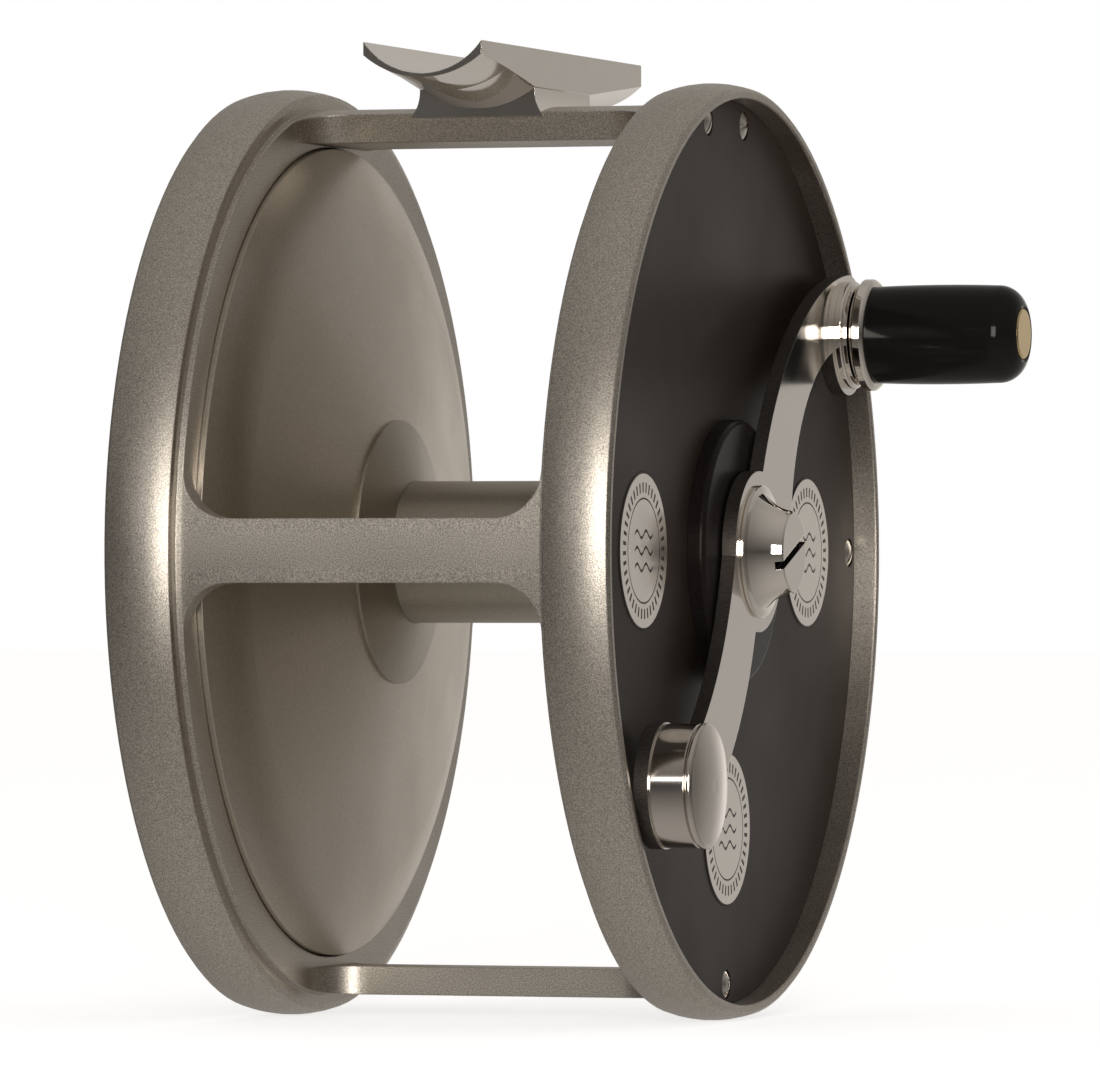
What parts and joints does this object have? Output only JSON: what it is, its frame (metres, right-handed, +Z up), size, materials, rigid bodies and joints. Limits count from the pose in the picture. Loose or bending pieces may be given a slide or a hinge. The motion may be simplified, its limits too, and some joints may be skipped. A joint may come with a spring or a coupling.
{
  "type": "fly reel",
  "caption": "Large open-cage fly fishing reel with a counterbalanced S-shaped crank, a turning handle, a curved rod foot, a click pawl and an adjustable disc drag.",
  "frame": {"origin": "on the rod's axis, above the middle of the foot's rod seat", "axes": "+X along the spindle towards the crank, +Y along the rod, +Z up, away from the reel"},
  "size_m": [0.0842, 0.1046, 0.1084],
  "materials": {
    "cage_metal": "bead-blasted satin",
    "spool_metal": "satin",
    "foot_metal": "polished",
    "black_plate": "satin black",
    "screw_steel": "polished heads",
    "medallion_metal": "polished",
    "crank_metal": "mirror polished",
    "black_handle": "gloss black",
    "brass_pin": "polished",
    "bearing_steel": "ground",
    "spring_steel": "blued",
    "friction_pad": "matt"
  },
  "bodies": {
    "frame": {"cage": "cage_metal", "reel_foot": "foot_metal", "foot_screws": "screw_steel", "front_plate": "black_plate", "front_plate_screws": "screw_steel", "rear_plate": "black_plate", "rear_plate_screws": "screw_steel", "near_medallion": "medallion_metal", "far_medallion": "medallion_metal", "low_medallion": "medallion_metal", "front_bearing_housing": "black_plate", "rear_bearing_housing": "black_plate", "front_bearing_outer_race": "bearing_steel", "rear_bearing_outer_race": "bearing_steel", "front_bearing_balls": "bearing_steel", "rear_bearing_balls": "bearing_steel", "pawl_post": "bearing_steel", "click_spring": "spring_steel", "knob_screw": "screw_steel"},
    "spool": {"front_spool_flange": "spool_metal", "rear_spool_flange": "spool_metal", "front_hub_collar": "spool_metal", "rear_hub_collar": "spool_metal", "spool_arbor": "spool_metal", "spindle": "bearing_steel", "click_wheel": "bearing_steel", "drag_disc": "bearing_steel", "front_bearing_inner_race": "bearing_steel", "rear_bearing_inner_race": "bearing_steel", "crank": "crank_metal", "crank_nut": "crank_metal", "handle_boss": "crank_metal", "handle_pin": "brass_pin", "counterweight_rivet": "crank_metal", "counterweight_drum": "crank_metal", "counterweight_cap": "crank_metal"},
    "handle_knob": {"handle_ferrule": "crank_metal", "handle_knob": "black_handle"},
    "click_pawl": {"click_pawl": "bearing_steel"},
    "drag_knob": {"drag_knob": "crank_metal"},
    "pressure_plate": {"pressure_plate": "bearing_steel", "friction_ring": "friction_pad", "push_pins": "bearing_steel"}
  },
  "joints": [
    {"name": "spool_spin", "type": "hinge", "parent": "frame", "child": "spool", "pos_m": [0, 0, -0.06095], "axis": [1, 0, 0], "continuous": true},
    {"name": "knob_spin", "type": "hinge", "parent": "spool", "child": "handle_knob", "pos_m": [0.033, 0.0353, -0.03595], "axis": [1, 0, 0], "continuous": true},
    {"name": "pawl_swing", "type": "hinge", "parent": "frame", "child": "click_pawl", "pos_m": [0.01695, 0.0105, -0.07795], "axis": [1, 0, 0], "range_deg": [0, 8], "stiffness_Nm_per_rad": 0.02, "springref_deg": -8.59, "deforming": ["click_spring"]},
    {"name": "drag_turn", "type": "hinge", "parent": "frame", "child": "drag_knob", "pos_m": [-0.0309, 0, -0.06095], "axis": [1, 0, 0], "range_deg": [0, 270]},
    {"name": "pressure_slide", "type": "slide", "parent": "frame", "child": "pressure_plate", "axis": [1, 0, 0], "range_m": [0, 0.0003]}
  ],
  "couplings": [
    {"joint": "drag_turn", "follows": "pressure_slide", "rad_per_m": 15700}
  ]
}
